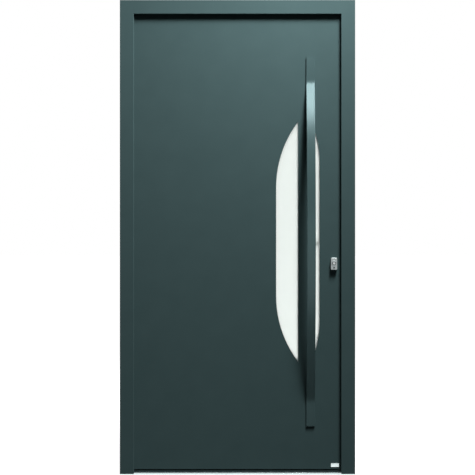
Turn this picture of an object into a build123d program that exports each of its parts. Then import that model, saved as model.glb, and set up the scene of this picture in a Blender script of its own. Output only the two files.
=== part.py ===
from build123d import *
import math
import os

# Glazed entrance door of aluminium profiles, in its frame, opening inwards.
# X runs to the right as seen from outside, Y into the house, Z up. The origin is
# under the middle of the threshold, half way through the depth of the frame.

# Frame
door_width = 1100.0
door_height = 2220.0
frame_depth = 80.0
frame_face = 65.0
lip_thickness = 13.0
lip_overlap = 10.0
gasket_gap = 5.0
edge_gap = 8.5
profile_wall = 2.0
bar_wall = 4.0
frame_outer_shell = 32.0
frame_inner_shell = 24.0
lip_edge_radius = 2.0
profile_edge_radius = 0.6

# Thermal bars between the two shells of each profile
bar_thickness = 3.0
bar_foot = 2.0
hardware_groove = 3.0
bar_end_gap = 1.0

# Threshold
sill_height = 4.0
nose_height = 9.5
nose_depth = 20.0
nose_slope = 2.0
upstand_height = 18.0
base_groove = 1.5
inner_rail_height = 12.0
inner_rail_depth = 20.0
bottom_gap = 5.5
seal_clearance = 0.3

# Frame gasket
gasket_foot_width = 4.0
gasket_foot_depth = 4.0
gasket_from_edge = 5.0
gasket_bulb_side = 2.0

# Leaf
skin_thickness = 3.0
stile_width = 60.0
leaf_outer_shell = 21.0
leaf_inner_shell = 19.0

# Windows: each has one straight long side, two arcs and an upright chord,
# measured sideways from the middle of the pull handle
window_middle = 1090.0
window_arc_radius = 515.0
left_window_straight = 161.3
left_window_chord = 58.0
left_window_half_straight = 254.0
right_window_straight = 43.0
right_window_half_straight = 371.0

# Insulating glass unit
glass_margin = 22.0
glazing_tape = 2.0
tape_setback = 1.5
outer_pane = 8.0
middle_pane = 4.0
inner_pane = 8.0
spacer_face = 12.0
glass_packing = 3.0

# Pull handle, a bowed flat strap
strap_from_leaf_edge = 152.7
strap_width = 40.0
strap_thickness = 6.0
strap_length = 1730.0
strap_foot = 122.0
strap_rise = 69.0
strap_bend_radius = 150.0
strap_edge_radius = 1.0

# Lock, lever and cylinder
lock_backset = 43.0
escutcheon_z = 986.5
cylinder_above_middle = 2.0
lever_above_cylinder = 92.0
cylinder_radius = 8.5
cylinder_tail_width = 10.0
cylinder_height = 33.0
cylinder_proud = 2.0
cylinder_clearance = 0.3
keyway_width = 2.4
keyway_height = 9.0
keyway_depth = 12.0
escutcheon_width = 30.0
escutcheon_height = 56.0
escutcheon_thickness = 14.0
escutcheon_corner = 4.0
escutcheon_edge = 2.0
rose_radius = 26.0
rose_thickness = 9.0
rose_edge = 2.0
lever_bar_radius = 9.5
lever_bend_radius = 17.0
lever_reach = 50.0
lever_length = 128.0
lever_end_edge = 2.0
spindle_size = 8.0

# Multipoint lock along the edge of the leaf
faceplate_thickness = 3.0
faceplate_end_gap = 145.0
lock_case_height = 190.0
lock_case_depth = 50.0
lock_case_thickness = 15.0
latch_height = 32.0
bolt_height = 36.0
bolt_below_cylinder = 42.0
bolt_thickness = 11.0
lower_hook_above_edge = 320.0
upper_hook_below_edge = 390.0
hook_height = 40.0
strike_thickness = 3.0
strike_length = 240.0
keep_length = 110.0
keep_pocket_margin = 4.0
keep_pocket_depth = 14.0

# Hinges
hinge_from_ends = 250.0
hinge_axis_offset = 18.0
knuckle_radius = 10.5
pin_radius = 5.0
pin_clearance = 0.05
knuckle_length = 42.0
knuckle_gap = 0.5
hinge_plate_thickness = 5.0
hinge_plate_width = 34.0
hinge_plate_from_axis = 12.0
hinge_neck_foot = 10.0
hinge_cap = 3.0

# Fixing holes through the inner shell of each jamb
fixing_hole_radius = 4.0
fixing_from_ends = 180.0
fixing_spacing = 700.0

# Places that follow from the sizes above
front = -frame_depth / 2
back = frame_depth / 2
half_width = door_width / 2
rebate = frame_face - lip_overlap - edge_gap
lip_back = front + lip_thickness
leaf_front = lip_back + gasket_gap
leaf_half_width = half_width - frame_face + lip_overlap
leaf_top = door_height - frame_face + lip_overlap
leaf_bottom = upstand_height + bottom_gap
shell_front = leaf_front + skin_thickness
shell_back = back - skin_thickness
break_front = shell_front + leaf_outer_shell
break_back = shell_back - leaf_inner_shell
frame_break_front = front + frame_outer_shell
frame_break_back = back - frame_inner_shell
strap_x = leaf_half_width - strap_from_leaf_edge
left_window_straight_x = strap_x - left_window_straight
left_window_chord_x = strap_x - left_window_chord
right_window_straight_x = strap_x + right_window_straight
right_window_chord_x = strap_x
lock_x = leaf_half_width - lock_backset
cylinder_z = escutcheon_z + cylinder_above_middle
lever_z = cylinder_z + lever_above_cylinder
faceplate_low = leaf_bottom + faceplate_end_gap
faceplate_high = leaf_top - faceplate_end_gap
hinge_heights = (hinge_from_ends, door_height / 2, door_height - hinge_from_ends)
fixing_heights = (
    fixing_from_ends,
    fixing_from_ends + fixing_spacing,
    door_height - fixing_from_ends - fixing_spacing,
    door_height - fixing_from_ends,
)
hinge_x = -(leaf_half_width + edge_gap / 2)
hinge_y = back + hinge_axis_offset
leaf_ring = (-leaf_half_width, leaf_half_width, leaf_bottom, leaf_top)
frame_ring = (-half_width, half_width, sill_height, door_height)


def block(x_range, y_range, z_range):
    size = [high - low for low, high in (x_range, y_range, z_range)]
    middle = [(high + low) / 2 for low, high in (x_range, y_range, z_range)]
    return Pos(*middle) * Box(*size)


def outline(points, rounded=(), radius=0.0):
    """A closed polygon with the named corners rounded."""
    shape = Polygon(*points, align=None)
    for corner in rounded:
        vertex = shape.vertices().sort_by_distance((corner[0], corner[1], 0))[0]
        shape = fillet(vertex, radius)
    return shape


def prism_y(shape, y_start, y_end):
    """Extrude an outline drawn in X and Z from one depth to another."""
    return extrude(Plane.XZ.offset(-y_start) * shape, y_end - y_start, dir=(0, 1, 0))


def prism_x(shape, x_start, x_end):
    """Extrude an outline drawn in Y and Z from one side to another."""
    return extrude(Plane.YZ.offset(x_start) * shape, x_end - x_start, dir=(1, 0, 0))


def side_plane(side, ring):
    """Plane whose x runs from a member's outer edge inwards and whose y is depth."""
    left, right, low, high = ring
    places = {
        "left": ((left, 0, low), (1, 0, 0), (0, 0, 1), high - low),
        "right": ((right, 0, high), (-1, 0, 0), (0, 0, -1), high - low),
        "top": ((left, 0, high), (0, 0, -1), (1, 0, 0), right - left),
        "bottom": ((right, 0, low), (0, 0, 1), (-1, 0, 0), right - left),
    }
    origin, across, along, length = places[side]
    return Plane(origin=origin, x_dir=across, z_dir=along), length


def mitre_wedge(side, ring, reach, square_foot=False, trim=0.0):
    """The space that one mitred member of a ring may fill."""
    left, right, low, high = ring
    foot = 0.0 if square_foot else reach
    corners = {
        "left": [
            (left, low + trim),
            (left, high - trim),
            (left + reach, high - reach - trim),
            (left + reach, low + foot + trim),
        ],
        "right": [
            (right, low + trim),
            (right, high - trim),
            (right - reach, high - reach - trim),
            (right - reach, low + foot + trim),
        ],
        "top": [
            (left + trim, high),
            (right - trim, high),
            (right - reach - trim, high - reach),
            (left + reach + trim, high - reach),
        ],
        "bottom": [
            (left + trim, low),
            (right - trim, low),
            (right - reach - trim, low + reach),
            (left + reach + trim, low + reach),
        ],
    }
    return prism_y(Polygon(*corners[side], align=None), front - 1, back + 1)


def member(section, side, ring, reach, square_foot=False, trim=0.0):
    """Run a profile section along one side of a ring and mitre its ends."""
    plane, length = side_plane(side, ring)
    wedge = mitre_wedge(side, ring, reach, square_foot, trim)
    run = Part()
    for solid in extrude(plane * section, length, dir=plane.z_dir).solids():
        run += solid & wedge
    return run


def bar_slots(near, far, depth_from, depth_to):
    """Slots that take the feet of the two thermal bars of a profile."""
    slots = Sketch()
    for start in (near, far):
        slots += Polygon(
            (start, depth_from),
            (start + bar_thickness, depth_from),
            (start + bar_thickness, depth_to),
            (start, depth_to),
            align=None,
        )
    return slots


def rectangle(across_from, across_to, depth_from, depth_to):
    return Polygon(
        (across_from, depth_from),
        (across_to, depth_from),
        (across_to, depth_to),
        (across_from, depth_to),
        align=None,
    )


frame_near_bar = hardware_groove
frame_far_bar = rebate - hardware_groove - bar_thickness
leaf_near_bar = hardware_groove
leaf_far_bar = stile_width - hardware_groove - bar_thickness
gasket_near = frame_face - gasket_from_edge - gasket_foot_width


def frame_outer_section():
    """Outer shell: the body, and the lip that covers the edge of the leaf."""
    body = outline(
        [
            (0, front),
            (frame_face, front),
            (frame_face, lip_back),
            (rebate, lip_back),
            (rebate, frame_break_front),
            (0, frame_break_front),
        ],
        [(frame_face, front)],
        lip_edge_radius,
    )
    chamber_back = frame_break_front - bar_wall
    lip_chamber_back = lip_back - gasket_foot_depth - profile_wall
    chamber = Polygon(
        (profile_wall, front + profile_wall),
        (frame_face - profile_wall, front + profile_wall),
        (frame_face - profile_wall, lip_chamber_back),
        (rebate - profile_wall, lip_chamber_back),
        (rebate - profile_wall, chamber_back),
        (profile_wall, chamber_back),
        align=None,
    )
    groove = rectangle(
        gasket_near, gasket_near + gasket_foot_width, lip_back - gasket_foot_depth, lip_back
    )
    slots = bar_slots(
        frame_near_bar, frame_far_bar, frame_break_front - bar_foot, frame_break_front
    )
    return body - chamber - groove - slots


def frame_inner_section():
    body = outline(
        [(0, frame_break_back), (rebate, frame_break_back), (rebate, back), (0, back)],
        [(rebate, back)],
        profile_edge_radius,
    )
    chamber = rectangle(
        profile_wall, rebate - profile_wall, frame_break_back + bar_wall, back - profile_wall
    )
    slots = bar_slots(frame_near_bar, frame_far_bar, frame_break_back, frame_break_back + bar_foot)
    return body - chamber - slots


def leaf_outer_section():
    chamber = rectangle(
        profile_wall, stile_width - profile_wall, shell_front + profile_wall, break_front - bar_wall
    )
    slots = bar_slots(leaf_near_bar, leaf_far_bar, break_front - bar_foot, break_front)
    return rectangle(0, stile_width, shell_front, break_front) - chamber - slots


def leaf_inner_section():
    chamber = rectangle(
        profile_wall, stile_width - profile_wall, break_back + bar_wall, shell_back - profile_wall
    )
    slots = bar_slots(leaf_near_bar, leaf_far_bar, break_back, break_back + bar_foot)
    return rectangle(0, stile_width, break_back, shell_back) - chamber - slots


def frame_bars(side):
    """Two polyamide bars, cut a little short of the mitre."""
    section = bar_slots(
        frame_near_bar, frame_far_bar, frame_break_front - bar_foot, frame_break_back + bar_foot
    )
    return member(section, side, frame_ring, frame_face, side != "top", bar_end_gap)


def euro_profile(grow=0.0):
    """The pear-shaped outline of a profile cylinder, drawn about its plug's axis."""
    tail = cylinder_height - cylinder_radius - cylinder_tail_width / 2
    round_part = Circle(cylinder_radius + grow)
    web = rectangle(-cylinder_tail_width / 2 - grow, cylinder_tail_width / 2 + grow, -tail, 0)
    foot = Pos(0, -tail) * Circle(cylinder_tail_width / 2 + grow)
    return Pos(lock_x, cylinder_z) * (round_part + web + foot)


def cylinder_passage():
    return prism_y(euro_profile(cylinder_clearance), front - 1, back + 1)


def lever_hole():
    return Pos(lock_x, lever_z) * Circle(lever_bar_radius + cylinder_clearance)


def spindle_passage():
    return prism_y(lever_hole(), 0, back + 1)


def fixing_holes(side):
    sign = -1 if side == "left" else 1
    y_middle = (frame_break_back + bar_wall + back - profile_wall) / 2
    holes = Part()
    for height in fixing_heights:
        drill = Cylinder(fixing_hole_radius, 2 * frame_face, rotation=(0, 90, 0))
        holes += Pos(sign * half_width, y_middle, height) * drill
    return holes


def keep_pocket(height, opening, middle_y):
    """Room behind a strike plate for one bolt."""
    half = opening / 2 + keep_pocket_margin
    return block(
        (half_width - rebate, half_width - rebate + keep_pocket_depth),
        (middle_y - bolt_thickness / 2, middle_y + bolt_thickness / 2),
        (height - half, height + half),
    )


def bolt_heights():
    """Middle height and length of each bolt that shoots from the edge of the leaf."""
    return {
        "latch": (lever_z + latch_height / 2, latch_height),
        "deadbolt": (cylinder_z - bolt_below_cylinder, bolt_height),
        "upper_hook": (leaf_top - upper_hook_below_edge, hook_height),
        "lower_hook": (leaf_bottom + lower_hook_above_edge, hook_height),
    }


groove_middle = (break_front + break_back) / 2


def all_keep_pockets():
    pockets = Part()
    for height, opening in bolt_heights().values():
        pockets += keep_pocket(height, opening, groove_middle)
    return pockets


def strike(z_range):
    """A plate let into the groove of the lock jamb, with a window for each bolt."""
    plate = block(
        (half_width - rebate, half_width - rebate + strike_thickness),
        (frame_break_front, frame_break_back),
        z_range,
    )
    return plate - all_keep_pockets()


def main_strike():
    middle = (lever_z + cylinder_z) / 2
    return strike((middle - strike_length / 2, middle + strike_length / 2))


def hook_keep(name):
    middle = bolt_heights()[name][0]
    return strike((middle - keep_length / 2, middle + keep_length / 2))


def jamb_run(section, side):
    """A jamb is mitred at the head and stands square on the threshold."""
    return member(section, side, frame_ring, frame_face, square_foot=True)


def threshold_outer_rail():
    """Base strip under the jambs, with a nose between them that has a sloping edge."""
    edge = front + nose_depth
    opening = half_width - frame_face
    base = block((-half_width, half_width), (front, edge), (0, sill_height))
    shape = Polygon(
        (front, 0),
        (edge, 0),
        (edge, nose_height),
        (front + nose_slope, nose_height),
        (front, nose_height - nose_slope),
        align=None,
    )
    return base + prism_x(shape, -opening, opening)


def threshold_core():
    start = front + nose_depth
    end = back - inner_rail_depth
    opening = half_width - rebate
    foot = block((-half_width, half_width), (start, end), (0, sill_height))
    upstand = block((-opening, opening), (start, end), (0, upstand_height))
    body = foot + upstand
    for step in (1, 3):
        y_middle = start + step * (end - start) / 4
        y_range = (y_middle - base_groove, y_middle + base_groove)
        body -= block((-half_width, half_width), y_range, (0, base_groove))
    return body


def threshold_inner_rail():
    start = back - inner_rail_depth
    opening = half_width - rebate
    foot = block((-half_width, half_width), (start, back), (0, sill_height))
    shape = Polygon(
        (start, 0),
        (back, 0),
        (back, inner_rail_height - nose_slope),
        (back - nose_slope, inner_rail_height),
        (start, inner_rail_height),
        align=None,
    )
    return foot + prism_x(shape, -opening, opening)


def frame_gasket():
    """Rubber gasket pressed into the groove of the lip, welded at its two corners."""
    reach = leaf_front - seal_clearance
    near = gasket_near - gasket_bulb_side
    far = gasket_near + gasket_foot_width + gasket_bulb_side
    bulb = outline(
        [(near, lip_back), (far, lip_back), (far, reach), (near, reach)],
        [(near, reach), (far, reach)],
        gasket_bulb_side,
    )
    foot = rectangle(
        gasket_near, gasket_near + gasket_foot_width, lip_back - gasket_foot_depth, lip_back
    )
    section = bulb + foot
    gasket = Part()
    for side in ("left", "top", "right"):
        gasket += member(section, side, frame_ring, frame_face, True)
    return gasket


def window(straight_x, chord_x, half_straight, grow=0.0):
    """A cut-out with one straight side, two tangent arcs and an upright chord."""
    turn = 1 if chord_x > straight_x else -1
    side_x = straight_x - turn * grow
    chord = chord_x + turn * grow
    radius = window_arc_radius + grow
    centre_x = side_x + turn * radius
    rise = math.sqrt(radius**2 - (centre_x - chord) ** 2)
    half_turn = math.asin(rise / radius) / 2
    bulge_x = centre_x - turn * radius * math.cos(half_turn)
    bulge_z = half_straight + radius * math.sin(half_turn)
    tip = half_straight + rise
    edges = [
        Line((side_x, -half_straight), (side_x, half_straight)),
        ThreePointArc((side_x, half_straight), (bulge_x, bulge_z), (chord, tip)),
        Line((chord, tip), (chord, -tip)),
        ThreePointArc((chord, -tip), (bulge_x, -bulge_z), (side_x, -half_straight)),
    ]
    return Pos(0, window_middle) * make_face(edges)


def windows(grow=0.0):
    left = window(left_window_straight_x, left_window_chord_x, left_window_half_straight, grow)
    right = window(right_window_straight_x, right_window_chord_x, right_window_half_straight, grow)
    return left + right


def leaf_skin(y_start, y_end):
    left, right, low, high = leaf_ring
    sheet = block((left, right), (y_start, y_end), (low, high))
    return sheet - prism_y(windows(), y_start, y_end)


def leaf_outer_skin():
    return leaf_skin(leaf_front, shell_front) - cylinder_passage()


def leaf_inner_skin():
    return leaf_skin(shell_back, back) - cylinder_passage() - spindle_passage()


def leaf_member(side):
    """One stile or rail: an outer and an inner shell, held apart by its bars."""
    outer = member(leaf_outer_section(), side, leaf_ring, stile_width)
    inner = member(leaf_inner_section(), side, leaf_ring, stile_width)
    if side == "right":
        outer -= cylinder_passage()
        inner -= cylinder_passage()
        inner -= spindle_passage()
    return Compound(children=[outer, inner])


def lock_case_space(grow=0.0):
    middle = (lever_z + cylinder_z) / 2
    return block(
        (leaf_half_width - faceplate_thickness - lock_case_depth - grow, leaf_half_width - faceplate_thickness),
        (groove_middle - lock_case_thickness / 2 - grow, groove_middle + lock_case_thickness / 2 + grow),
        (middle - lock_case_height / 2 - grow, middle + lock_case_height / 2 + grow),
    )


def leaf_thermal_bars():
    """Bars of the four members, cut just short of the corners and of the lock."""
    section = bar_slots(leaf_near_bar, leaf_far_bar, break_front - bar_foot, break_back + bar_foot)
    bars = Part()
    for side in ("left", "right", "top", "bottom"):
        bars += member(section, side, leaf_ring, stile_width, False, bar_end_gap)
    bars -= lock_case_space(glass_packing)
    for name in bolt_heights():
        bars -= bolt_space(name, cylinder_clearance)
    return bars


def glass_box(y_start, y_end, inset=0.0):
    half = right_window_half_height() + glass_margin - inset
    return block(
        (left_window_straight_x - glass_margin + inset, right_window_straight_x + glass_margin - inset),
        (y_start, y_end),
        (window_middle - half, window_middle + half),
    )


def right_window_half_height():
    width = right_window_straight_x - right_window_chord_x
    return right_window_half_straight + math.sqrt(
        window_arc_radius**2 - (window_arc_radius - width) ** 2
    )


glass_front = shell_front + glazing_tape
glass_back = shell_back - glazing_tape
middle_front = (glass_front + outer_pane + glass_back - inner_pane - middle_pane) / 2
middle_back = middle_front + middle_pane


def glass_spacers():
    """A hollow bar frame in each of the two gaps between the panes."""
    frames = []
    for y_start, y_end in (
        (glass_front + outer_pane, middle_front),
        (middle_back, glass_back - inner_pane),
    ):
        frames.append(glass_box(y_start, y_end) - glass_box(y_start, y_end, spacer_face))
    return Compound(children=frames)


def glazing_tape_sheet(y_start, y_end):
    return glass_box(y_start, y_end) - prism_y(windows(tape_setback), y_start, y_end)


def leaf_core():
    """Rigid foam between the skins, with a pocket that packs the glass unit."""
    left, right, low, high = leaf_ring
    foam = block(
        (left + stile_width, right - stile_width),
        (shell_front, shell_back),
        (low + stile_width, high - stile_width),
    )
    return foam - glass_box(shell_front, shell_back, 0)


def pull_handle():
    """Flat strap: two ends that lie on the leaf and a long bow between them."""
    half_length = strap_length / 2
    half_chord = half_length - strap_foot
    bow_radius = (half_chord**2 + strap_rise**2) / (2 * strap_rise)
    centre_y = leaf_front - strap_rise + bow_radius
    outer_flat = leaf_front - strap_thickness
    outer_radius = bow_radius + strap_thickness
    outer_half = math.sqrt(outer_radius**2 - (centre_y - outer_flat) ** 2)
    edges = [
        Line((leaf_front, half_length), (leaf_front, half_chord)),
        ThreePointArc(
            (leaf_front, half_chord), (leaf_front - strap_rise, 0), (leaf_front, -half_chord)
        ),
        Line((leaf_front, -half_chord), (leaf_front, -half_length)),
        Line((leaf_front, -half_length), (outer_flat, -half_length)),
        Line((outer_flat, -half_length), (outer_flat, -outer_half)),
        ThreePointArc(
            (outer_flat, -outer_half), (outer_flat - strap_rise, 0), (outer_flat, outer_half)
        ),
        Line((outer_flat, outer_half), (outer_flat, half_length)),
        Line((outer_flat, half_length), (leaf_front, half_length)),
    ]
    shape = make_face(edges)
    bends = [
        (leaf_front, half_chord, strap_bend_radius),
        (leaf_front, -half_chord, strap_bend_radius),
        (outer_flat, outer_half, strap_bend_radius + strap_thickness),
        (outer_flat, -outer_half, strap_bend_radius + strap_thickness),
    ]
    for y_place, z_place, radius in bends:
        corner = shape.vertices().sort_by_distance((y_place, z_place, 0))[0]
        shape = fillet(corner, radius)
    shape = Pos(0, window_middle) * shape
    strap = prism_x(shape, strap_x - strap_width / 2, strap_x + strap_width / 2)
    outer_edges = [
        edge
        for edge in strap.edges()
        if edge.center().Y < leaf_front - strap_thickness + 0.5 and edge.length > strap_width + 1
    ]
    return fillet(outer_edges, strap_edge_radius)


def cylinder_escutcheon():
    plate = RectangleRounded(escutcheon_width, escutcheon_height, escutcheon_corner)
    body = prism_y(Pos(lock_x, escutcheon_z) * plate, leaf_front - escutcheon_thickness, leaf_front)
    rim = body.faces().sort_by(Axis.Y)[0].edges()
    body = fillet(rim, escutcheon_edge)
    return body - prism_y(
        euro_profile(cylinder_clearance), leaf_front - escutcheon_thickness - 1, leaf_front + 1
    )


def lock_cylinder():
    """Profile cylinder through the leaf, with a keyway at each end."""
    start = leaf_front - escutcheon_thickness - cylinder_proud
    end = back + rose_thickness + cylinder_proud
    body = prism_y(euro_profile(), start, end)
    half_key = keyway_height / 2
    for y_range in ((start, start + keyway_depth), (end - keyway_depth, end)):
        body -= block(
            (lock_x - keyway_width / 2, lock_x + keyway_width / 2),
            y_range,
            (cylinder_z - half_key, cylinder_z + half_key),
        )
    return body


def rose(height, hole):
    """Round cover plate on the inner face."""
    body = prism_y(Pos(lock_x, height) * Circle(rose_radius), back, back + rose_thickness)
    rim = body.faces().sort_by(Axis.Y)[-1].edges()
    body = fillet(rim, rose_edge)
    return body - prism_y(hole, back - 1, back + rose_thickness + 1)


def inner_lever():
    """Round bar bent to lie along the leaf, on its square spindle from the lock."""
    grip_y = back + lever_reach
    route = FilletPolyline(
        (lock_x, back, lever_z),
        (lock_x, grip_y, lever_z),
        (lock_x - lever_length, grip_y, lever_z),
        radius=lever_bend_radius,
    )
    start = Plane(origin=(lock_x, back, lever_z), z_dir=(0, 1, 0))
    bar = sweep(start * Circle(lever_bar_radius), path=route)
    rim = bar.faces().sort_by(Axis.X)[0].edges()
    bar = fillet(rim, lever_end_edge)
    half = spindle_size / 2
    spindle = block(
        (lock_x - half, lock_x + half),
        (groove_middle + lock_case_thickness / 2, back),
        (lever_z - half, lever_z + half),
    )
    return bar + spindle


def lock_faceplate():
    """Long plate in the groove of the lock stile, with a window for each bolt."""
    plate = block(
        (leaf_half_width - faceplate_thickness, leaf_half_width),
        (break_front, break_back),
        (faceplate_low, faceplate_high),
    )
    for height, opening in bolt_heights().values():
        half = opening / 2 + cylinder_clearance
        reach = bolt_thickness / 2 + cylinder_clearance
        plate -= block(
            (leaf_half_width - faceplate_thickness, leaf_half_width),
            (groove_middle - reach, groove_middle + reach),
            (height - half, height + half),
        )
    return plate


def bolt_space(name, grow=0.0):
    height, opening = bolt_heights()[name]
    return block(
        (leaf_half_width - stile_width / 2 - grow, leaf_half_width),
        (groove_middle - bolt_thickness / 2 - grow, groove_middle + bolt_thickness / 2 + grow),
        (height - opening / 2 - grow, height + opening / 2 + grow),
    )


def lock_case_and_bolts():
    """Case behind the faceplate with its latch and bolt drawn in, and the two hooks."""
    case = lock_case_space()
    for name in ("latch", "deadbolt"):
        case += bolt_space(name)
    case -= prism_y(euro_profile(cylinder_clearance), front, back)
    hooks = [bolt_space(name) for name in ("upper_hook", "lower_hook")]
    return Compound(children=[case] + hooks)


def bottom_seal():
    """Brush strip in the groove under the leaf, which sweeps the threshold."""
    run = (-leaf_half_width + stile_width / 4, leaf_half_width - stile_width / 4)
    holder = block(run, (break_front, break_back), (leaf_bottom, leaf_bottom + hardware_groove))
    brush = block(
        run,
        (groove_middle - hardware_groove, groove_middle + hardware_groove),
        (upstand_height + seal_clearance, leaf_bottom),
    )
    return holder + brush


def hinge_plate(turn):
    """Outline of the plate that is screwed to the jamb or to the leaf."""
    edge = hinge_x + turn * hinge_plate_from_axis
    far = edge + turn * hinge_plate_width
    return rectangle(min(edge, far), max(edge, far), back, back + hinge_plate_thickness)


def hinge_knuckle(turn):
    """Outline of a barrel with the neck that runs down to its plate."""
    barrel = Pos(hinge_x, hinge_y) * Circle(knuckle_radius)
    edge = hinge_x + turn * hinge_plate_from_axis
    far = edge + turn * hinge_neck_foot
    foot = rectangle(min(edge, far), max(edge, far), back, back + hinge_plate_thickness)
    return make_hull(barrel.edges() + foot.edges())


def column(shape, low, high):
    return extrude(Pos(0, 0, low) * shape, high - low, dir=(0, 0, 1))


def hinge_leaf_part(height):
    """Plate and middle knuckle, on the leaf."""
    half = knuckle_length / 2
    full = 1.5 * knuckle_length
    body = column(hinge_plate(1), height - full, height + full)
    body += column(hinge_knuckle(1), height - half + knuckle_gap, height + half - knuckle_gap)
    bore = Pos(hinge_x, hinge_y) * Circle(pin_radius + pin_clearance)
    return body - column(bore, height - full, height + full)


def hinge_frame_part(height):
    """Plate with an upper and a lower knuckle, on the jamb."""
    half = knuckle_length / 2
    full = 1.5 * knuckle_length
    body = column(hinge_plate(-1), height - full, height + full)
    body += column(hinge_knuckle(-1), height - full, height - half)
    body += column(hinge_knuckle(-1), height + half, height + full)
    bore = Pos(hinge_x, hinge_y) * Circle(pin_radius)
    return body - column(bore, height - full, height + full)


def hinge_pin(height):
    """Pin with a domed cap at each end."""
    full = 1.5 * knuckle_length
    centre = Pos(hinge_x, hinge_y)
    pin = column(centre * Circle(pin_radius), height - full, height + full)
    for low, high in ((height - full - hinge_cap, height - full), (height + full, height + full + hinge_cap)):
        cap = column(centre * Circle(knuckle_radius), low, high)
        outer = cap.faces().sort_by(Axis.Z)[-1 if low > height else 0].edges()
        pin += fillet(outer, hinge_cap / 2)
    return pin


def parts():
    lock_pockets = all_keep_pockets()
    nodes = {
        "jamb_left_outer_profile": jamb_run(frame_outer_section(), "left"),
        "jamb_left_thermal_bars": frame_bars("left"),
        "jamb_left_inner_profile": jamb_run(frame_inner_section(), "left") - fixing_holes("left"),
        "jamb_right_outer_profile": jamb_run(frame_outer_section(), "right"),
        "jamb_right_thermal_bars": frame_bars("right") - lock_pockets,
        "jamb_right_inner_profile": jamb_run(frame_inner_section(), "right") - fixing_holes("right"),
        "head_outer_profile": member(frame_outer_section(), "top", frame_ring, frame_face),
        "head_thermal_bars": frame_bars("top"),
        "head_inner_profile": member(frame_inner_section(), "top", frame_ring, frame_face),
        "threshold_outer_rail": threshold_outer_rail(),
        "threshold_core": threshold_core(),
        "threshold_inner_rail": threshold_inner_rail(),
        "frame_gasket": frame_gasket(),
        "strike_plate": main_strike(),
        "hook_keeps": Compound(children=[hook_keep("upper_hook"), hook_keep("lower_hook")]),
        "hinge_frame_parts": Compound(children=[hinge_frame_part(z) for z in hinge_heights]),
        "hinge_pins": Compound(children=[hinge_pin(z) for z in hinge_heights]),
        "leaf_outer_skin": leaf_outer_skin(),
        "leaf_inner_skin": leaf_inner_skin(),
        "leaf_hinge_stile": leaf_member("left"),
        "leaf_lock_stile": leaf_member("right"),
        "leaf_top_rail": leaf_member("top"),
        "leaf_bottom_rail": leaf_member("bottom"),
        "leaf_thermal_bars": leaf_thermal_bars(),
        "leaf_core": leaf_core(),
        "glass_outer_pane": glass_box(glass_front, glass_front + outer_pane),
        "glass_middle_pane": glass_box(middle_front, middle_back),
        "glass_inner_pane": glass_box(glass_back - inner_pane, glass_back),
        "glass_spacers": glass_spacers(),
        "glazing_tape_outer": glazing_tape_sheet(shell_front, glass_front),
        "glazing_tape_inner": glazing_tape_sheet(glass_back, shell_back),
        "pull_handle": pull_handle(),
        "cylinder_escutcheon": cylinder_escutcheon(),
        "lock_cylinder": lock_cylinder(),
        "lock_faceplate": lock_faceplate(),
        "lock_case_and_bolts": lock_case_and_bolts(),
        "inner_lever_rose": rose(lever_z, lever_hole()),
        "inner_lever": inner_lever(),
        "inner_cylinder_rose": rose(cylinder_z, euro_profile(cylinder_clearance)),
        "bottom_seal": bottom_seal(),
        "hinge_leaf_parts": Compound(children=[hinge_leaf_part(z) for z in hinge_heights]),
    }
    return nodes


os.makedirs("parts", exist_ok=True)
for name, shape in parts().items():
    export_step(shape, f"parts/{name}.step")
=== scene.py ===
import math
import random
import bmesh
import bpy
from mathutils import Matrix, Vector


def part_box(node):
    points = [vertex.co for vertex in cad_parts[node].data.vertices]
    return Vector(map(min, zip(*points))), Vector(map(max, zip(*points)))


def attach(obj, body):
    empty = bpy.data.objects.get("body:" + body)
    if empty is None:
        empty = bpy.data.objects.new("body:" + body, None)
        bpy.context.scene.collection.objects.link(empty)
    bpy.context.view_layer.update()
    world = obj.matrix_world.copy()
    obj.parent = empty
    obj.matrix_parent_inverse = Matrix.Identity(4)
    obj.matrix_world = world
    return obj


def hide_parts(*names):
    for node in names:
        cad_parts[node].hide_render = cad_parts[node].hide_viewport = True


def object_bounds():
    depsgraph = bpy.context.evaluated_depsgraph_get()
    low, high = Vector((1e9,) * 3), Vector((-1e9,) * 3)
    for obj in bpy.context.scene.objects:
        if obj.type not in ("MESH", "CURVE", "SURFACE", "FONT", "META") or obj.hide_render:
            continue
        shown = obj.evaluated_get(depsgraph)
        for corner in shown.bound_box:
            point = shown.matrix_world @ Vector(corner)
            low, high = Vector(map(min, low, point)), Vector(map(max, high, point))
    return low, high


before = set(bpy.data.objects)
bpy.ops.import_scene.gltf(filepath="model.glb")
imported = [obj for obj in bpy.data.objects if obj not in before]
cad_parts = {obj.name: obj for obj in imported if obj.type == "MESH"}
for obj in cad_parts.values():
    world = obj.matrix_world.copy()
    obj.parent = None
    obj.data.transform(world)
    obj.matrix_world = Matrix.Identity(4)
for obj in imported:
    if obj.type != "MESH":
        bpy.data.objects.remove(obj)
cad_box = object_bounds()
scene = bpy.context.scene


# Camera: straight on to the outside face, five metres away, with the door filling the
# picture from head to threshold. The picture's middle lies a hair under the door's.
MM = 0.001
outside_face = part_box("head_outer_profile")[0][1]
door_low, door_high = (Vector(corner) for corner in cad_box)
camera_distance = 5000 * MM
picture_height = 2220.3 * MM
picture_drop = 0.45 * MM
camera_height = (door_low.z + door_high.z) / 2 - picture_drop
camera_data = bpy.data.cameras.new("camera")
camera_data.lens = camera_data.sensor_width * camera_distance / picture_height
camera = bpy.data.objects.new("camera", camera_data)
camera.location = (0, outside_face - camera_distance, camera_height)
camera.rotation_euler = (math.radians(90), 0, 0)
scene.collection.objects.link(camera)
scene.camera = camera
scene.view_settings.view_transform = "Standard"


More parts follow.
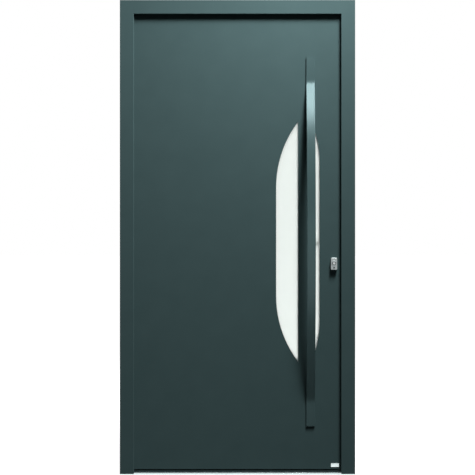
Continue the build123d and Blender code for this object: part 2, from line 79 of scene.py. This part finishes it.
# Studio: a white paper floor and a white surround. Both are white to the eye, in metal
# and through glass, and give next to no light to the paint, which the lamps light from
# high up on the right.
def linear(hex_colour):
    """An sRGB hex value as linear red, green, blue and an alpha of one."""
    channels = [int(hex_colour[i : i + 2], 16) / 255 for i in (1, 3, 5)]
    bent = [c / 12.92 if c <= 0.04045 else ((c + 0.055) / 1.055) ** 2.4 for c in channels]
    return (*bent, 1.0)


def add(tree, kind, settings=None, values=None, links=None):
    """Add a shader node with its settings, its socket values and its incoming links."""
    node = tree.nodes.new(kind)
    for setting, value in (settings or {}).items():
        setattr(node, setting, value)
    for socket, value in (values or {}).items():
        node.inputs[socket].default_value = value
    for socket, source in (links or {}).items():
        tree.links.new(source, node.inputs[socket])
    return node


def seen_directly(tree):
    """One for what the camera sees itself, in a reflection or through glass."""
    path = add(tree, "ShaderNodeLightPath")
    seen_or_mirrored = add(
        tree,
        "ShaderNodeMath",
        {"operation": "MAXIMUM"},
        links={0: path.outputs["Is Camera Ray"], 1: path.outputs["Is Glossy Ray"]},
    )
    through_glass_too = add(
        tree,
        "ShaderNodeMath",
        {"operation": "MAXIMUM"},
        links={0: seen_or_mirrored.outputs[0], 1: path.outputs["Is Transmission Ray"]},
    )
    return through_glass_too.outputs[0]


WHITE = linear("#FFFFFF")
fill_strength = 0.012
world = bpy.data.worlds.new("white_surround")
scene.world = world
world.use_nodes = True
tree = world.node_tree
tree.nodes.clear()
fill = add(tree, "ShaderNodeBackground", values={"Color": WHITE, "Strength": fill_strength})
white = add(tree, "ShaderNodeBackground", values={"Color": WHITE, "Strength": 1.0})
surround = add(
    tree,
    "ShaderNodeMixShader",
    links={0: seen_directly(tree), 1: fill.outputs[0], 2: white.outputs[0]},
)
add(tree, "ShaderNodeOutputWorld", links={"Surface": surround.outputs[0]})

floor_half = 60.0
paper_glow = 0.9
paper_sheet = linear("#808080")
paper_bounce = linear("#303030")
bpy.ops.object.select_all(action="DESELECT")
bpy.ops.mesh.primitive_plane_add(size=2 * floor_half, location=(0, 0, door_low.z))
floor = bpy.context.object
floor.name = "paper_floor"
bpy.ops.object.transform_apply()
paper = bpy.data.materials.new("white_paper")
paper.use_nodes = True
tree = paper.node_tree
tree.nodes.clear()
sheet = add(tree, "ShaderNodeBsdfDiffuse", values={"Color": paper_sheet})
bounce = add(tree, "ShaderNodeBsdfDiffuse", values={"Color": paper_bounce})
glow = add(tree, "ShaderNodeEmission", values={"Color": WHITE, "Strength": paper_glow})
bright_sheet = add(tree, "ShaderNodeAddShader", links={0: sheet.outputs[0], 1: glow.outputs[0]})
seen_paper = add(
    tree,
    "ShaderNodeMixShader",
    links={0: seen_directly(tree), 1: bounce.outputs[0], 2: bright_sheet.outputs[0]},
)
add(tree, "ShaderNodeOutputMaterial", links={"Surface": seen_paper.outputs[0]})
floor.data.materials.append(paper)


# Lamps: a spot close above the right-hand corner, whose light fades down the leaf, a
# soft sun that evens it out, and a soft lamp behind, for the inside and the glass.
def place_lamp(name, kind, place, target, strength):
    """A lamp turned towards a point. Its strength is in watts, or a sun's per square metre."""
    lamp = bpy.data.lights.new(name, kind)
    lamp.energy = strength
    lamp_object = bpy.data.objects.new(name, lamp)
    lamp_object.location = place
    aim = Vector(target) - Vector(place)
    lamp_object.rotation_euler = aim.to_track_quat("-Z", "Y").to_euler()
    lamp_object.visible_camera = False
    scene.collection.objects.link(lamp_object)
    return lamp_object


key = place_lamp(
    "key_high_right",
    "SPOT",
    place=(0.885, -0.80, 3.48),
    target=(-1.72, -0.022, -0.9),
    strength=665,
)
key.data.spot_size = math.radians(92.5)
key.data.spot_blend = 1.0
key.data.shadow_soft_size = 0.28
overhead = place_lamp(
    "even_from_above",
    "SUN",
    place=(2.0, -3.8, 10.0),
    target=(0.0, 0.0, 0.0),
    strength=2.58,
)
overhead.data.angle = math.radians(18)
gloss = place_lamp(
    "gloss_in_front",
    "AREA",
    place=(0.52, -2.55, 3.0),
    target=(0.34, -0.05, 1.75),
    strength=156,
)
gloss.data.size = 0.56
card = place_lamp(
    "reflector_card",
    "AREA",
    place=(0.54, -3.0, 0.78),
    target=(0.54, 0.0, 0.78),
    strength=32,
)
card.data.shape = "RECTANGLE"
card.data.size = 1.0
card.data.size_y = 1.35
# The sloped face of the threshold's outer rail would mirror the key and the sun, so both
# leave it out.
unlit_sill = bpy.data.collections.new("unlit_sill")
unlit_sill.objects.link(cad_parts["threshold_outer_rail"])
unlit_sill.collection_objects[0].light_linking.link_state = "EXCLUDE"
for lamp_object in (key, overhead):
    lamp_object.light_linking.receiver_collection = unlit_sill
# The gloss lamp and the card are only there to be mirrored by the smooth handle.
handle_alone = bpy.data.collections.new("handle_alone")
handle_alone.objects.link(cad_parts["pull_handle"])
for lamp_object in (gloss, card):
    lamp_object.visible_diffuse = False
    lamp_object.light_linking.receiver_collection = handle_alone
behind = place_lamp(
    "soft_behind",
    "AREA",
    place=(-1.7, 3.4, 2.9),
    target=(0.0, 0.0, 1.0),
    strength=150,
)
behind.data.size = 2.4


# Powder-coated frame: extruded aluminium profiles, mitred, sprayed and stoved in one
# dark green-grey. Close up the coat is a fine even grain that breaks every highlight.
def new_material(name, hex_colour, roughness, metallic=0.0):
    """A named finish with one colour, ready for its grain."""
    finish = bpy.data.materials.new(name)
    finish.use_nodes = True
    shader = finish.node_tree.nodes["Principled BSDF"]
    shader.inputs["Base Color"].default_value = linear(hex_colour)
    shader.inputs["Roughness"].default_value = roughness
    shader.inputs["Metallic"].default_value = metallic
    return finish, finish.node_tree, shader


def grain(tree, size_mm, detail, stretch=(1, 1, 1)):
    """Noise with a grain of this many millimetres, stretched along the way it was worked."""
    place = add(tree, "ShaderNodeTexCoord")
    worked = add(
        tree, "ShaderNodeMapping", values={"Scale": stretch}, links={"Vector": place.outputs["Object"]}
    )
    noise = add(
        tree,
        "ShaderNodeTexNoise",
        values={"Scale": 1 / (size_mm * MM), "Detail": detail},
        links={"Vector": worked.outputs[0]},
    )
    return noise.outputs["Fac"]


def grain_bump(tree, shader, size_mm, height_mm, stretch=(1, 1, 1)):
    """Surface relief of one grain size."""
    bump = add(
        tree,
        "ShaderNodeBump",
        values={"Strength": 0.6, "Distance": height_mm * MM},
        links={"Height": grain(tree, size_mm, detail=2.0, stretch=stretch)},
    )
    tree.links.new(bump.outputs[0], shader.inputs["Normal"])


def colour_drift(tree, shader, light_hex, dark_hex, size_mm):
    """A slow change between two near tones, as a sprayed or plated surface has."""
    tone = add(tree, "ShaderNodeValToRGB", links={"Fac": grain(tree, size_mm, detail=3.0)})
    dark_end, light_end = tone.color_ramp.elements
    dark_end.color = linear(dark_hex)
    light_end.color = linear(light_hex)
    dark_end.position = 0.3
    light_end.position = 0.7
    tree.links.new(tone.outputs["Color"], shader.inputs["Base Color"])


def dress(finish, *nodes):
    """Give CAD pieces a finish in place of the plain one they came with."""
    for name in nodes:
        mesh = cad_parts[name].data
        mesh.materials.clear()
        mesh.materials.append(finish)


coat, tree, shader = new_material("fine_structure_powder_coat", "#37494A", roughness=0.6)
shader.inputs["Specular IOR Level"].default_value = 0.04
grain_bump(tree, shader, size_mm=0.6, height_mm=0.045)
colour_drift(tree, shader, "#384A4B", "#364849", size_mm=90)
dress(
    coat,
    "jamb_left_outer_profile",
    "jamb_left_inner_profile",
    "jamb_right_outer_profile",
    "jamb_right_inner_profile",
    "head_outer_profile",
    "head_inner_profile",
)


# Thermal bars: black polyamide, extruded with glass fibre, rolled into the grooves of
# the two aluminium shells. Dull, with faint streaks along their length. The threshold's
# upstand is the same plastic in dark green-grey, with its streaks from side to side.
streaks_upright = (1, 1, 0.05)
streaks_sideways = (0.05, 1, 1)
polyamide, tree, shader = new_material("glass_filled_polyamide", "#1C1C1D", roughness=0.55)
grain_bump(tree, shader, size_mm=0.8, height_mm=0.02, stretch=streaks_upright)
dress(polyamide, "jamb_left_thermal_bars", "jamb_right_thermal_bars", "head_thermal_bars")
dress(polyamide, "leaf_thermal_bars")
ribbed, tree, shader = new_material("ribbed_polyamide_threshold", "#263334", roughness=0.6)
shader.inputs["Specular IOR Level"].default_value = 0.1
grain_bump(tree, shader, size_mm=0.8, height_mm=0.03, stretch=streaks_sideways)
dress(ribbed, "threshold_core")


# Threshold rails: extruded aluminium, satin anodised, screwed down to the base.
# Die lines run along them and draw the light out sideways.
die_lines = (0.02, 1, 1)
anodised, tree, shader = new_material(
    "satin_anodised_aluminium", "#CFDCDE", roughness=0.45, metallic=1.0
)
grain_bump(tree, shader, size_mm=0.5, height_mm=0.01, stretch=die_lines)
dress(anodised, "threshold_outer_rail", "threshold_inner_rail")


# Zinc-plated steel: fasteners and fittings that don't show with the door shut. Plated
# steel is bright with a faint cloud of bluish and greyish patches.
zinc, tree, shader = new_material("zinc_plated_steel", "#AEB2B6", roughness=0.38, metallic=1.0)
grain_bump(tree, shader, size_mm=1.2, height_mm=0.02)
colour_drift(tree, shader, "#B6BABF", "#A4A8AB", size_mm=6)
dress(zinc, "lock_case_and_bolts", "hinge_pins")


# Threshold screws: zinc-plated, with a hexagon socket, through the inner rail into the
# base. One is turned, bevelled and socketed, and copied along the rail.
def new_disc(name, radius_mm, depth_mm, sides=24):
    """A round blank standing on the origin along +Z, in metres."""
    bpy.ops.object.select_all(action="DESELECT")
    bpy.ops.mesh.primitive_cylinder_add(
        vertices=sides,
        radius=radius_mm * MM,
        depth=depth_mm * MM,
        location=(0, 0, depth_mm * MM / 2),
    )
    piece = bpy.context.object
    piece.name = piece.data.name = name
    bpy.ops.object.transform_apply()
    return piece


def apply_modifier(piece, modifier):
    """Apply a modifier to its piece."""
    bpy.context.view_layer.objects.active = piece
    bpy.ops.object.modifier_apply(modifier=modifier.name)


def round_edges(piece, width_mm, segments=2, angle=40):
    """Bevel every edge that turns by more than the angle."""
    bevel = piece.modifiers.new("rounded_edges", "BEVEL")
    bevel.width = width_mm * MM
    bevel.segments = segments
    bevel.limit_method = "ANGLE"
    bevel.angle_limit = math.radians(angle)
    apply_modifier(piece, bevel)


def cut_away(piece, cutter):
    """Take the cutter's shape out of a piece and throw the cutter away."""
    cut = piece.modifiers.new("cut", "BOOLEAN")
    cut.object = cutter
    cut.solver = "EXACT"
    apply_modifier(piece, cut)
    bpy.data.objects.remove(cutter)


def smooth(piece):
    """Shade a piece smooth, but not over its sharp edges."""
    sharp_from = math.radians(35)
    bpy.ops.object.select_all(action="DESELECT")
    piece.select_set(True)
    bpy.context.view_layer.objects.active = piece
    bpy.ops.object.shade_smooth_by_angle(angle=sharp_from)


def new_screw(name, radius_mm, proud_mm, socket_mm):
    """A screw head with a bevelled rim and a hexagon socket, proud of z = 0."""
    sunk = 0.4
    rim_bevel = 0.35 * proud_mm
    head = new_disc(name, radius_mm, proud_mm + sunk)
    head.data.transform(Matrix.Translation((0, 0, -sunk * MM)))
    round_edges(head, rim_bevel)
    socket = new_disc("socket", socket_mm, 2 * proud_mm, sides=6)
    cut_away(head, socket)
    smooth(head)
    return head


def facing(direction):
    """The turn that takes +Z to a direction."""
    return Vector(direction).to_track_quat("Z", "Y").to_matrix().to_4x4()


def join_as(name, pieces):
    """Join pieces into one object of this name."""
    bpy.ops.object.select_all(action="DESELECT")
    for piece in pieces:
        piece.select_set(True)
        bpy.context.view_layer.objects.active = piece
    bpy.ops.object.join()
    joined = bpy.context.object
    joined.name = joined.data.name = name
    return joined


def set_out(piece, name, direction, places_mm):
    """Copies of a piece, each with its own mesh, turned and joined into one object."""
    twins = []
    for place in places_mm:
        twin = bpy.data.objects.new(name, piece.data.copy())
        twin.data.transform(Matrix.Translation(Vector(place) * MM) @ facing(direction))
        scene.collection.objects.link(twin)
        twins.append(twin)
    return join_as(name, twins)


def fit(piece, finish, body):
    """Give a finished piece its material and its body."""
    piece.data.materials.clear()
    piece.data.materials.append(finish)
    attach(piece, body)


def face_mm(node, side):
    """Where a side of a CAD node's box lies, in millimetres. A side is -x, +x, -y and so on."""
    low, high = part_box(node)
    corner = low if side[0] == "-" else high
    return corner["xyz".index(side[1])] / MM


sill_top = face_mm("threshold_inner_rail", "+z")
sill_screw_y = 30.0
sill_screw_xs = (-430, -145, 145, 430)
sill_screw = new_screw("sill_screw", radius_mm=4.2, proud_mm=0.6, socket_mm=2.0)
sill_screws = set_out(
    sill_screw,
    "threshold_screws",
    (0, 0, 1),
    [(x, sill_screw_y, sill_top) for x in sill_screw_xs],
)
bpy.data.objects.remove(sill_screw)
fit(sill_screws, zinc, "frame")


# Frame gasket and glazing tape: black rubber, extruded and pressed into its groove.
# It is matt and swallows light, with a slight unevenness from the extruder.
rubber, tree, shader = new_material("extruded_epdm_rubber", "#0E0F0F", roughness=0.7)
shader.inputs["Specular IOR Level"].default_value = 0.1
grain_bump(tree, shader, size_mm=0.7, height_mm=0.03)
dress(rubber, "frame_gasket", "glazing_tape_outer", "glazing_tape_inner")


# Strike plate and hook keeps: brushed stainless strip, punched, let into the jamb.
# Brushing runs upright and spreads highlights across it. The faceplate, the cylinder
# cover, the roses and the lever are the same steel.
brushed_upright = (1, 1, 0.03)
stainless, tree, shader = new_material(
    "brushed_stainless_steel", "#8F9696", roughness=0.48, metallic=1.0
)
grain_bump(tree, shader, size_mm=0.4, height_mm=0.012, stretch=brushed_upright)
dress(stainless, "strike_plate", "hook_keeps", "lock_faceplate", "cylinder_escutcheon")
dress(stainless, "inner_lever_rose", "inner_lever", "inner_cylinder_rose")


# Strike and faceplate screws: small zinc-plated screws that hold the strike, the hook
# keeps and the long faceplate, between the openings for latch, bolt and hooks.
plate_screw = new_screw("plate_screw", radius_mm=3.6, proud_mm=0.6, socket_mm=1.6)
strike_face = face_mm("strike_plate", "-x")
strike_middle_y = (face_mm("strike_plate", "-y") + face_mm("strike_plate", "+y")) / 2
strike_low, strike_high = face_mm("strike_plate", "-z"), face_mm("strike_plate", "+z")
keep_low, keep_high = face_mm("hook_keeps", "-z"), face_mm("hook_keeps", "+z")
keep_length = 110.0
from_keep_end = 8.0
from_strike_foot = 5.0
under_strike_middle = 12.0
from_strike_head = 15.0
strike_heights = [
    strike_low + from_strike_foot,
    (strike_low + strike_high) / 2 - under_strike_middle,
    strike_high - from_strike_head,
    keep_low + from_keep_end,
    keep_low + keep_length - from_keep_end,
    keep_high - keep_length + from_keep_end,
    keep_high - from_keep_end,
]
strike_screws = set_out(
    plate_screw,
    "strike_screws",
    (-1, 0, 0),
    [(strike_face, strike_middle_y, z) for z in strike_heights],
)
fit(strike_screws, zinc, "frame")
edge_face = face_mm("lock_faceplate", "+x")
edge_middle_y = (face_mm("lock_faceplate", "-y") + face_mm("lock_faceplate", "+y")) / 2
edge_heights = (180, 306, 382, 640, 900, 1020, 1150, 1450, 1736, 1814, 2008)
faceplate_screws = set_out(
    plate_screw,
    "faceplate_screws",
    (1, 0, 0),
    [(edge_face, edge_middle_y, z) for z in edge_heights],
)
fit(faceplate_screws, zinc, "leaf")
bpy.data.objects.remove(plate_screw)


# Fixing caps: round caps that close the frame's screw holes in each jamb. They are
# moulded in grey-black polyamide and pressed in by hand, and look dull with a soft rim.
cap_polymer, tree, shader = new_material("moulded_polyamide_cap", "#1E2222", roughness=0.5)
grain_bump(tree, shader, size_mm=0.6, height_mm=0.02)
cap = new_disc("cap", radius_mm=6.8, depth_mm=1.4, sides=32)
round_edges(cap, 0.8, segments=3)
smooth(cap)
rebate_face = strike_face
fixing_y = 29.0
fixing_heights = (180, 880, 1340, 2040)
for side, sign in (("left", -1), ("right", 1)):
    caps = set_out(
        cap,
        f"fixing_caps_{side}",
        (-sign, 0, 0),
        [(sign * rebate_face, fixing_y, z) for z in fixing_heights],
    )
    fit(caps, cap_polymer, "frame")
bpy.data.objects.remove(cap)


# Barrel hinges: three extruded hinges with a wing screwed to the frame and one to the
# leaf, on zinc-plated pins. Their smooth powder coat has the door's colour and a soft
# sheen that the frame's coat lacks.
hinge_coat, tree, shader = new_material("smooth_powder_coat", "#3A4848", roughness=0.4)
shader.inputs["Specular IOR Level"].default_value = 0.3
grain_bump(tree, shader, size_mm=0.5, height_mm=0.015)
dress(hinge_coat, "hinge_frame_parts", "hinge_leaf_parts")
hinge_screw = new_screw("hinge_screw", radius_mm=4.4, proud_mm=0.9, socket_mm=2.2)
hinge_face = 45.0
hinge_heights = (250, 1110, 1970)
hinge_screw_offsets = (-50, -17, 17, 50)
for body, wing_x in (("frame", -534), ("leaf", -464)):
    screws = set_out(
        hinge_screw,
        f"hinge_{body}_screws",
        (0, 1, 0),
        [(wing_x, hinge_face, z + dz) for z in hinge_heights for dz in hinge_screw_offsets],
    )
    fit(screws, zinc, body)
bpy.data.objects.remove(hinge_screw)


# Leaf: two aluminium sheets bonded to a mitred frame of profiles round a foam core. All
# but the foam has the coat of the door frame. The foam is buff and open-celled, and
# shows only where a piece is taken off.
dress(
    coat,
    "leaf_outer_skin",
    "leaf_inner_skin",
    "leaf_hinge_stile",
    "leaf_lock_stile",
    "leaf_top_rail",
    "leaf_bottom_rail",
)
foam, tree, shader = new_material("rigid_foam_core", "#D8C98F", roughness=0.85)
grain_bump(tree, shader, size_mm=1.5, height_mm=0.2)
dress(foam, "leaf_core")


# Glass: three sheets with dull, dark spacer bars. The outer one is etched on its inner
# side, so it glows white with the light behind it and nothing can be made out through
# it. The other two are clear float glass with a faint waviness.
glass_ior = 1.45
satin, tree, shader = new_material("satin_etched_glass", "#F7F6F5", roughness=0.35)
shader.inputs["Transmission Weight"].default_value = 1.0
shader.inputs["IOR"].default_value = glass_ior
grain_bump(tree, shader, size_mm=1.0, height_mm=0.004)
dress(satin, "glass_outer_pane")
clear, tree, shader = new_material("clear_float_glass", "#FAFFFD", roughness=0.02)
shader.inputs["Transmission Weight"].default_value = 1.0
shader.inputs["IOR"].default_value = glass_ior
grain_bump(tree, shader, size_mm=120.0, height_mm=0.02)
dress(clear, "glass_middle_pane", "glass_inner_pane")
spacer, tree, shader = new_material("warm_edge_spacer", "#2A2C2D", roughness=0.45)
grain_bump(tree, shader, size_mm=0.6, height_mm=0.01)
dress(spacer, "glass_spacers")


# Pull handle: one bent steel strap, powder-coated smooth in the door's colour, bolted
# through the leaf from behind. Its bow carries a long cool highlight under the lamp.
strap_coat, tree, shader = new_material("satin_powder_coat", "#37494A", roughness=0.19)
shader.inputs["Specular IOR Level"].default_value = 0.05
shader.inputs["Specular Tint"].default_value = linear("#DBFBFF")
grain_bump(tree, shader, size_mm=0.5, height_mm=0.008)
dress(strap_coat, "pull_handle")
strap_low, strap_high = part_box("pull_handle")
strap_x = (strap_low.x + strap_high.x) / 2 / MM
strap_middle = (strap_low.z + strap_high.z) / 2 / MM
bolt_offset = 804.0
inner_face = face_mm("leaf_inner_skin", "+y")
bolt_cap = new_disc("bolt_cap", radius_mm=8.0, depth_mm=3.2, sides=40)
round_edges(bolt_cap, 2.0, segments=4)
smooth(bolt_cap)
bolt_caps = set_out(
    bolt_cap,
    "pull_handle_bolt_caps",
    (0, 1, 0),
    [(strap_x, inner_face, strap_middle + dz) for dz in (-bolt_offset, bolt_offset)],
)
bpy.data.objects.remove(bolt_cap)
fit(bolt_caps, stainless, "leaf")


# Lock cylinder: a milled body and a turned plug, both nickel-plated brass. A dark disc
# round the plug is painted shade, for the shadowed gap between plug and body. The plug's polished end
# is the brightest spot on the lock.
def edit_faces(piece, chosen):
    """Open a piece in edit mode with just the faces selected that the test picks."""
    bpy.ops.object.select_all(action="DESELECT")
    piece.select_set(True)
    bpy.context.view_layer.objects.active = piece
    bpy.ops.object.mode_set(mode="EDIT")
    bpy.ops.mesh.select_mode(type="FACE")
    bpy.ops.mesh.select_all(action="DESELECT")
    cage = bmesh.from_edit_mesh(piece.data)
    for face in cage.faces:
        face.select_set(chosen(face.calc_center_median(), face.normal))
    bmesh.update_edit_mesh(piece.data)


def close_edit():
    """Leave edit mode."""
    bpy.ops.object.mode_set(mode="OBJECT")


def new_block(name, size_mm, middle_mm=(0, 0, 0)):
    """A rectangular blank round a middle point, in metres."""
    bpy.ops.object.select_all(action="DESELECT")
    bpy.ops.mesh.primitive_cube_add(
        size=1.0, location=Vector(middle_mm) * MM, scale=Vector(size_mm) * MM
    )
    piece = bpy.context.object
    piece.name = piece.data.name = name
    bpy.ops.object.transform_apply()
    return piece


nickel, tree, shader = new_material("nickel_plated_brass", "#8C9496", roughness=0.3, metallic=1.0)
grain_bump(tree, shader, size_mm=0.8, height_mm=0.006)
dress(nickel, "lock_cylinder")
cylinder_low, cylinder_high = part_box("lock_cylinder")
lock_x = (cylinder_low.x + cylinder_high.x) / 2 / MM
cylinder_radius = 8.5
plug_z = cylinder_high.z / MM - cylinder_radius
key_slot_width, key_slot_height = 2.0, 7.6
plug_radius, plug_proud = 5.4, 1.1
ring_radius, ring_proud = 8.2, 0.35
ring_rim, ring_dish = 1.6, 0.2
# Painted shade: a dark dished disc round the plug, for the shadowed gap there.
painted_shade_ring = new_disc("cylinder_painted_shade_rings", ring_radius, ring_proud, sides=48)
round_edges(painted_shade_ring, 0.12)
edit_faces(painted_shade_ring, lambda middle, normal: normal.z > 0.9 and middle.length < 2 * MM)
bpy.ops.mesh.inset(thickness=ring_rim * MM)
bpy.ops.transform.translate(value=(0, 0, -ring_dish * MM))
close_edit()
smooth(painted_shade_ring)
plug = new_disc("cylinder_plugs", plug_radius, plug_proud, sides=40)
round_edges(plug, 0.5, segments=3)
key_slot = new_block("key_slot", (key_slot_width, key_slot_height, 4 * plug_proud))
cut_away(plug, key_slot)
smooth(plug)
polished, tree, shader = new_material("polished_nickel_plug", "#D2D8D8", roughness=0.32, metallic=1.0)
grain_bump(tree, shader, size_mm=0.3, height_mm=0.004)
plug_ends = ((cylinder_low.y / MM, -1), (cylinder_high.y / MM, 1))
for part, finish, slot_name in (
    (painted_shade_ring, cap_polymer, "polyamide"),
    (plug, polished, "nickel_brass"),
):
    both_ends = [set_out(part, "end", (0, sign, 0), [(lock_x, y, plug_z)]) for y, sign in plug_ends]
    name = part.name
    bpy.data.objects.remove(part)
    fit(join_as(name, both_ends), finish, "leaf")


# Raised collar on the cylinder cover: a turned stainless ring, open at the bottom where
# the cylinder's foot comes through. It catches the light along its upper side. A small
# black disc at the foot is painted shade, for the dark hollow at the cylinder's foot.
collar_radius, collar_wire = 10.7, 1.4
collar_opening = 6.5
cover_face = face_mm("cylinder_escutcheon", "-y")
bpy.ops.object.select_all(action="DESELECT")
bpy.ops.mesh.primitive_torus_add(
    major_radius=collar_radius * MM,
    minor_radius=collar_wire * MM,
    major_segments=64,
    minor_segments=12,
    location=(lock_x * MM, cover_face * MM, plug_z * MM),
    rotation=(math.radians(90), 0, 0),
)
collar = bpy.context.object
collar.name = collar.data.name = "cylinder_collar"
bpy.ops.object.transform_apply()
bpy.ops.object.mode_set(mode="EDIT")
bpy.ops.mesh.select_all(action="SELECT")
bpy.ops.mesh.bisect(
    plane_co=(lock_x * MM, cover_face * MM, (plug_z - collar_opening) * MM),
    plane_no=(0, 0, 1),
    use_fill=True,
    clear_inner=True,
)
close_edit()
smooth(collar)
fit(collar, stainless, "leaf")
shade_disc_above_foot = 4.2
# Painted shade: a small black disc for the dark hollow at the cylinder's foot.
foot_shade_disc = new_disc("foot_shade_disc", radius_mm=3.7, depth_mm=0.4, sides=32)
round_edges(foot_shade_disc, 0.15)
smooth(foot_shade_disc)
foot_shade_discs = set_out(
    foot_shade_disc,
    "cylinder_foot_painted_shade_discs",
    (0, -1, 0),
    [(lock_x, cylinder_low.y / MM, cylinder_low.z / MM + shade_disc_above_foot)],
)
bpy.data.objects.remove(foot_shade_disc)
fit(foot_shade_discs, cap_polymer, "leaf")


# Label plate: a small bare plate low on the lock side, in satin anodised sheet with
# rounded corners and a shallow field, stuck to the outer skin. It is pale and dull, with
# fine brushing from side to side.
outer_skin = face_mm("leaf_outer_skin", "-y")
plate_x, plate_z = (438.3, 475.8), (33.5, 50.5)
plate_thickness = 1.0
plate_corner = 2.0
plate_rim, plate_step, plate_field_depth = 1.2, 0.3, 0.2
plate_size = (plate_x[1] - plate_x[0], plate_thickness, plate_z[1] - plate_z[0])
plate_middle = (sum(plate_x) / 2, outer_skin - plate_thickness / 2, sum(plate_z) / 2)
label_plate = new_block("blank_label_plate", plate_size, plate_middle)
bpy.ops.object.mode_set(mode="EDIT")
bpy.ops.mesh.select_mode(type="EDGE")
bpy.ops.mesh.select_all(action="DESELECT")
cage = bmesh.from_edit_mesh(label_plate.data)
for edge in cage.edges:
    run = (edge.verts[0].co - edge.verts[1].co).normalized()
    edge.select_set(abs(run.y) > 0.9)
bmesh.update_edit_mesh(label_plate.data)
bpy.ops.mesh.bevel(offset=plate_corner * MM, segments=5)
close_edit()
edit_faces(label_plate, lambda middle, normal: normal.y < -0.9)
bpy.ops.mesh.inset(thickness=plate_rim * MM)
bpy.ops.mesh.inset(thickness=plate_step * MM)
bpy.ops.transform.translate(value=(0, plate_field_depth * MM, 0))
close_edit()
round_edges(label_plate, 0.15, angle=60)
smooth(label_plate)
brushed_sideways = (0.05, 1, 1)
plate_finish, tree, shader = new_material(
    "satin_anodised_label_plate", "#CAD4D4", roughness=0.6, metallic=1.0
)
grain_bump(tree, shader, size_mm=0.5, height_mm=0.008, stretch=brushed_sideways)
fit(label_plate, plate_finish, "leaf")


# Brush seal under the leaf: tufts of dull black nylon pile in two rows, clamped in an
# aluminium channel that is screwed under the bottom rail. The tufts splay a little
# towards their tips and stand unevenly.
along_the_hairs = (1, 1, 0.1)
pile, tree, shader = new_material("nylon_brush_pile", "#141415", roughness=0.9)
shader.inputs["Specular IOR Level"].default_value = 0.1
grain_bump(tree, shader, size_mm=0.5, height_mm=0.05, stretch=along_the_hairs)
seal_low, seal_high = (Vector(corner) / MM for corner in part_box("bottom_seal"))
leaf_foot = face_mm("leaf_bottom_rail", "-z")
seal_middle_y = (seal_low.y + seal_high.y) / 2
holder_size = (seal_high.x - seal_low.x, seal_high.y - seal_low.y, seal_high.z - leaf_foot)
holder_middle = (0, seal_middle_y, (seal_high.z + leaf_foot) / 2)
holder_lip, channel_depth = 4.6, 1.8
holder = new_block("bottom_seal_holder", holder_size, holder_middle)
edit_faces(holder, lambda middle, normal: normal.z < -0.9)
bpy.ops.mesh.inset(thickness=holder_lip * MM)
bpy.ops.mesh.extrude_region_move(TRANSFORM_OT_translate={"value": (0, 0, channel_depth * MM)})
close_edit()
round_edges(holder, 0.3)
fit(holder, anodised, "leaf")
tuft_in_channel = 1.6
tuft_tip_radius, tuft_root_radius = 1.75, 1.25
tuft_length = leaf_foot + tuft_in_channel - seal_low.z
bpy.ops.object.select_all(action="DESELECT")
bpy.ops.mesh.primitive_cone_add(
    vertices=6,
    radius1=tuft_tip_radius * MM,
    radius2=tuft_root_radius * MM,
    depth=tuft_length * MM,
    location=(0, 0, tuft_length * MM / 2),
)
tuft = bpy.context.object
bpy.ops.object.transform_apply()
tuft_pitch = 3.0
row_offset = 1.2
drift_along, drift_across = 0.3, 0.25
run_start, run_end = seal_low.x + tuft_pitch, seal_high.x - tuft_pitch
tufts_per_row = int((run_end - run_start) / tuft_pitch)
wander = random.Random(11)
tuft_places = []
for row_y, first_x in ((-row_offset, 0.0), (row_offset, tuft_pitch / 2)):
    for step in range(tufts_per_row):
        x = run_start + first_x + step * tuft_pitch + wander.uniform(-drift_along, drift_along)
        y = seal_middle_y + row_y + wander.uniform(-drift_across, drift_across)
        tuft_places.append((x, y, seal_low.z))
bristles = set_out(tuft, "bottom_seal_bristles", (0, 0, 1), tuft_places)
bpy.data.objects.remove(tuft)
fit(bristles, pile, "leaf")
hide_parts("bottom_seal")
